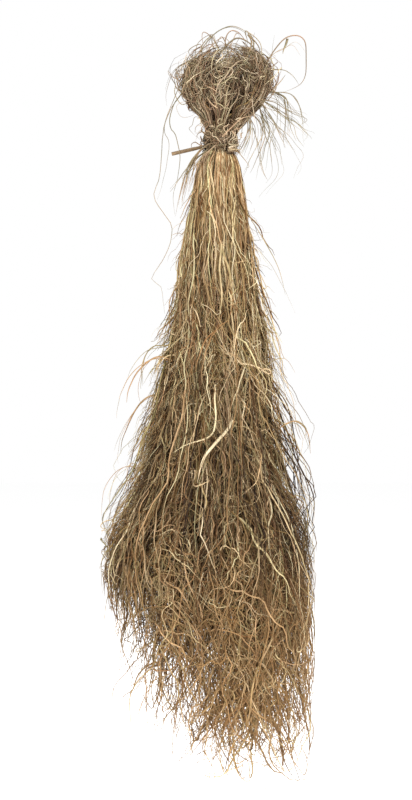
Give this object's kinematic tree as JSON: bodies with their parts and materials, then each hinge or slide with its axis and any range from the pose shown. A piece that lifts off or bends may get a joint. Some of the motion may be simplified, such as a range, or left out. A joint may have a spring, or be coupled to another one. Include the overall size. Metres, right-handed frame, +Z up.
{
  "type": "dried grass hank",
  "caption": "Hank of dried grass used as ghillie suit garnish: a folded, tousled crown, a bound neck to hang it by, and a long ragged skirt whose locks sway and lift.",
  "frame": {"origin": "on the axis of the bound neck, where the hank is gripped or hung, 6 mm above the lower edge of its binding", "axes": "+Z up along the hanging hank, +X to the right and -Y to the front as it is seen"},
  "size_m": [0.2357, 0.1622, 0.8814],
  "materials": {
    "outer_grass": "dry matte fibre",
    "inner_grass": "dry matte fibre, shaded",
    "crown_grass": "dry matte fibre, greyed",
    "sedge_blade": "satin, ribbed along its length",
    "reed_stem": "satin, pale at the cut"
  },
  "bodies": {
    "crown_and_binding": {"neck_fibres": "inner_grass", "neck_binding": "sedge_blade", "binding_tuck": "sedge_blade", "binding_tail": "reed_stem", "crown_core": "inner_grass", "crown_tuft_right": "crown_grass", "crown_tuft_back_right": "crown_grass", "crown_tuft_back": "crown_grass", "crown_tuft_back_left": "crown_grass", "crown_tuft_left": "crown_grass", "crown_tuft_front_left": "crown_grass", "crown_tuft_front": "crown_grass", "crown_tuft_front_right": "crown_grass", "crown_spill_right": "crown_grass", "crown_spill_left": "crown_grass"},
    "throat": {"throat_fibres": "inner_grass"},
    "core_hank": {"skirt_heart": "inner_grass", "inner_lock_right": "inner_grass", "inner_lock_back_right": "inner_grass", "inner_lock_back": "inner_grass", "inner_lock_back_left": "inner_grass", "inner_lock_left": "inner_grass", "inner_lock_front_left": "inner_grass", "inner_lock_front": "inner_grass", "inner_lock_front_right": "inner_grass"},
    "right_locks": {"right_lock_front": "outer_grass", "right_lock_side": "outer_grass", "right_lock_back": "outer_grass"},
    "back_locks": {"back_lock_right": "outer_grass", "back_lock_middle": "outer_grass", "back_lock_left": "outer_grass"},
    "left_locks": {"left_lock_back": "outer_grass", "left_lock_side": "outer_grass", "left_lock_front": "outer_grass"},
    "front_locks": {"front_lock_left": "outer_grass", "front_lock_middle": "outer_grass", "front_lock_right": "outer_grass"}
  },
  "joints": [
    {"name": "sway_side", "type": "hinge", "parent": "crown_and_binding", "child": "throat", "pos_m": [-0.003, -0.004, -0.014], "axis": [0, 1, 0], "range_deg": [-15, 15]},
    {"name": "sway_front_back", "type": "hinge", "parent": "throat", "child": "core_hank", "pos_m": [-0.003, -0.004, -0.014], "axis": [1, 0, 0], "range_deg": [-15, 15]},
    {"name": "left_lift", "type": "hinge", "parent": "core_hank", "child": "left_locks", "pos_m": [-0.0202, 0, -0.022], "axis": [0, 1, 0], "range_deg": [0, 25]},
    {"name": "right_lift", "type": "hinge", "parent": "core_hank", "child": "right_locks", "pos_m": [0.0188, 0, -0.022], "axis": [0, -1, 0], "range_deg": [0, 25]},
    {"name": "front_lift", "type": "hinge", "parent": "core_hank", "child": "front_locks", "pos_m": [0, -0.0174, -0.022], "axis": [-1, 0, 0], "range_deg": [0, 25]},
    {"name": "back_lift", "type": "hinge", "parent": "core_hank", "child": "back_locks", "pos_m": [0, 0.0174, -0.022], "axis": [1, 0, 0], "range_deg": [0, 25]}
  ]
}
